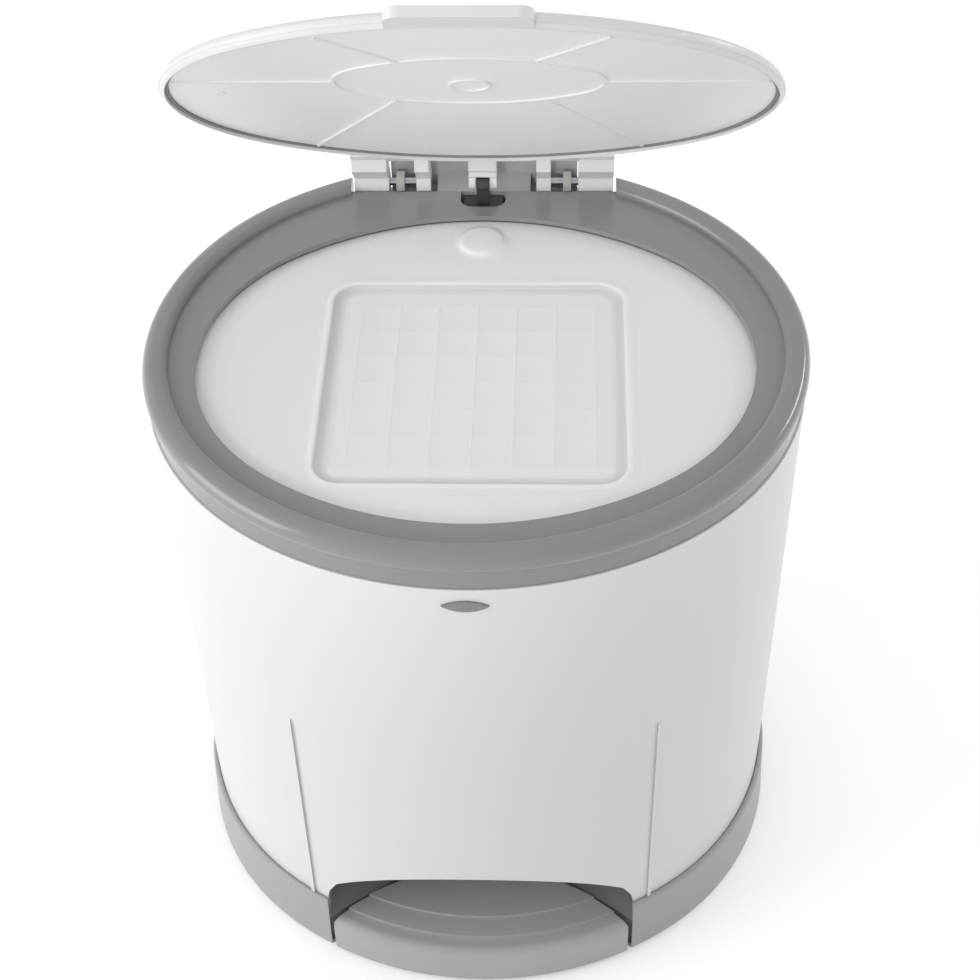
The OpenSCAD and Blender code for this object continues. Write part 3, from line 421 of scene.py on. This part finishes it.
def floor_places(half):
    """Positions across the tray's floor, close together where a raised line runs."""
    places = {-half, half}
    for i in range(-LINES_EACH_WAY, LINES_EACH_WAY + 1):
        for step in LINE_SECTION:
            places.add((LINE_STEP * i + step) * MM)
        places.add(LINE_STEP * (i + 0.5) * MM)
    return sorted(v for v in places if abs(v) <= half)


def line_height(v):
    """How far a raised line stands up, 0 to 1, at a place across the tray's floor."""
    away = min(abs(v - LINE_STEP * i * MM) for i in range(-LINES_EACH_WAY, LINES_EACH_WAY + 1))
    return math.cos(min(1, away / (LINE_HALF_WIDTH * MM)) * math.pi / 2) ** 2


def make_tray_floor():
    """Floor of the tray, with its faint raised lines."""
    half_width, front, back, _ = TRAY_EDGE
    middle = (front + back) / 2 * MM
    xs = floor_places((half_width - FLOOR_INSET) * MM)
    ys = floor_places(((back - front) / 2 - FLOOR_INSET) * MM)
    level = FLAP_TOP - FLOOR_DEPTH * MM
    verts = []
    for y in ys:
        for x in xs:
            fade = min(1, max(0, (LINES_END * MM - max(abs(x), abs(y))) / (LINES_FADE * MM)))
            rise = max(LINE_RISE_ALONG * line_height(x), LINE_RISE_ACROSS * line_height(y)) * fade
            verts.append((x, middle + y, level + rise * MM))
    across, down = len(xs), len(ys)
    faces = []
    for r in range(down - 1):
        for c in range(across - 1):
            k = r * across + c
            faces.append((k, k + 1, k + across + 1, k + across))
    edge = list(range(across))
    edge += [r * across + across - 1 for r in range(1, down)]
    edge += [(down - 1) * across + c for c in range(across - 2, -1, -1)]
    edge += [r * across for r in range(down - 2, 0, -1)]
    first = len(verts)
    verts += [(verts[k][0], verts[k][1], level - FLOOR_THICKNESS * MM) for k in edge]
    for i, k in enumerate(edge):
        m = (i + 1) % len(edge)
        faces.append((k, first + i, first + m, edge[m]))
    faces.append(tuple(first + i for i in range(len(edge))))
    add_piece("flap_tray_floor", verts, faces, flap_white, "flap")


def revolved(middle, profile, steps):
    """Closed round body from a profile that starts on the axis and ends on it."""
    inner = profile[1:-1]
    width = len(inner)
    verts = []
    faces = []
    for i in range(steps):
        verts += [(*around_circle(middle, r, i / steps), z) for r, z in inner]
    top, bottom = len(verts), len(verts) + 1
    verts += [(*middle, profile[0][1]), (*middle, profile[-1][1])]
    for i in range(steps):
        k = (i + 1) % steps
        for j in range(width - 1):
            faces.append((i * width + j, k * width + j, k * width + j + 1, i * width + j + 1))
        faces.append((top, k * width, i * width))
        faces.append((bottom, i * width + width - 1, k * width + width - 1))
    return verts, faces


def make_bump_cap():
    """Soft dome over the flap's round bump."""
    profile = [(r * MM, FLAP_TOP + z * MM) for r, z in BUMP]
    verts, faces = revolved(BUMP_MIDDLE, profile, BUMP_STEPS)
    add_piece("flap_bump_cap", verts, faces, flap_white, "flap")


def make_panel_mark():
    """Small ring left on the lid's panel by the moulding tool, turned to the open lid's place."""
    opened = Matrix.Translation(HINGE) @ Matrix.Rotation(-LID_OPEN, 4, "X") @ Matrix.Translation(-HINGE)
    rings = []
    for i in range(MARK_STEPS):
        rings.append([(*around_circle(MARK_MIDDLE, r, i / MARK_STEPS), z) for r, z in MARK])
    verts, faces = swept(rings)
    add_piece("lid_panel_mark", verts, faces, panel_white_lightened, "lid", opened)


make_tray_border()
make_tray_floor()
make_bump_cap()
make_panel_mark()


# Floor and background, near white for the camera

FLOOR_HALF = 6.0
FLOOR_COLOUR = (0.86, 0.86, 0.86, 1)
FLOOR_GLOW = 0.32
ROOM_LIGHT = 0.73
WHITE = (1, 1, 1, 1)


def floor_material():
    """Matt pale floor that glows only for the camera and in reflections."""
    n = Nodes("studio_floor")
    path = n.add("ShaderNodeLightPath")
    seen = n.add("ShaderNodeMath", operation="MAXIMUM")
    n.link(path, "Is Camera Ray", seen, 0)
    n.link(path, "Is Glossy Ray", seen, 1)
    glow = n.add("ShaderNodeMath", operation="MULTIPLY")
    n.link(seen, 0, glow, 0)
    glow.inputs[1].default_value = FLOOR_GLOW
    n.bsdf.inputs["Base Color"].default_value = FLOOR_COLOUR
    n.bsdf.inputs["Roughness"].default_value = 0.9
    n.bsdf.inputs["Specular IOR Level"].default_value = 0.0
    n.bsdf.inputs["Emission Color"].default_value = WHITE
    n.link(glow, 0, n.bsdf, "Emission Strength")
    return n.mat


def make_stage():
    """One flat square under the bin."""
    mesh = bpy.data.meshes.new("floor")
    bm = bmesh.new()
    bmesh.ops.create_grid(bm, x_segments=1, y_segments=1, size=FLOOR_HALF)
    bm.to_mesh(mesh)
    bm.free()
    floor = bpy.data.objects.new("floor", mesh)
    scene.collection.objects.link(floor)
    mesh.materials.append(floor_material())


def make_world():
    """Even white light all round, at full white only where the camera sees it."""
    world = bpy.data.worlds.new("studio")
    scene.world = world
    world.use_nodes = True
    tree = world.node_tree
    path = tree.nodes.new("ShaderNodeLightPath")
    seen = tree.nodes.new("ShaderNodeMath")
    seen.operation = "MAXIMUM"
    tree.links.new(path.outputs["Is Camera Ray"], seen.inputs[0])
    tree.links.new(path.outputs["Is Transmission Ray"], seen.inputs[1])
    level = tree.nodes.new("ShaderNodeMapRange")
    level.inputs["To Min"].default_value = ROOM_LIGHT
    level.inputs["To Max"].default_value = 1.0
    tree.links.new(seen.outputs[0], level.inputs["Value"])
    background = tree.nodes["Background"]
    background.inputs["Color"].default_value = WHITE
    tree.links.new(level.outputs[0], background.inputs["Strength"])


make_stage()
make_world()


# Lights: places and sizes in metres, power in watts, cone in degrees

def place_light(data, place, target):
    """Light object at a place, turned to its target."""
    obj = bpy.data.objects.new(data.name, data)
    scene.collection.objects.link(obj)
    obj.location = place
    obj.rotation_euler = (Vector(target) - Vector(place)).to_track_quat("-Z", "Y").to_euler()
    return obj


def lamp(name, place, target, power, size):
    """Rectangular soft light."""
    data = bpy.data.lights.new(name, "AREA")
    data.energy = power
    data.shape = "RECTANGLE"
    data.size, data.size_y = size
    place_light(data, place, target)


def spot(name, place, target, power, cone, radius):
    """Soft spot that leaves no bright point in reflections."""
    data = bpy.data.lights.new(name, "SPOT")
    data.energy = power
    data.spot_size = math.radians(cone)
    data.spot_blend = 1.0
    data.shadow_soft_size = radius
    place_light(data, place, target).visible_glossy = False


lamp("key", (-1.85, -0.55, 0.85), (0, 0, 0.25), power=18, size=(1.4, 1.2))
lamp("low front", (-0.2, -1.9, 0.4), (0, 0, 0.35), power=0.8, size=(2.0, 0.5))
lamp("rim strip", (1.25, 0.75, 0.78), (0, 0, 0.3), power=3.0, size=(0.7, 0.08))
spot("hinge", (-0.25, -1.7, 1.0), (0, 0.125, 0.325), power=40, cone=12, radius=0.12)

scene.view_settings.view_transform = "Standard"
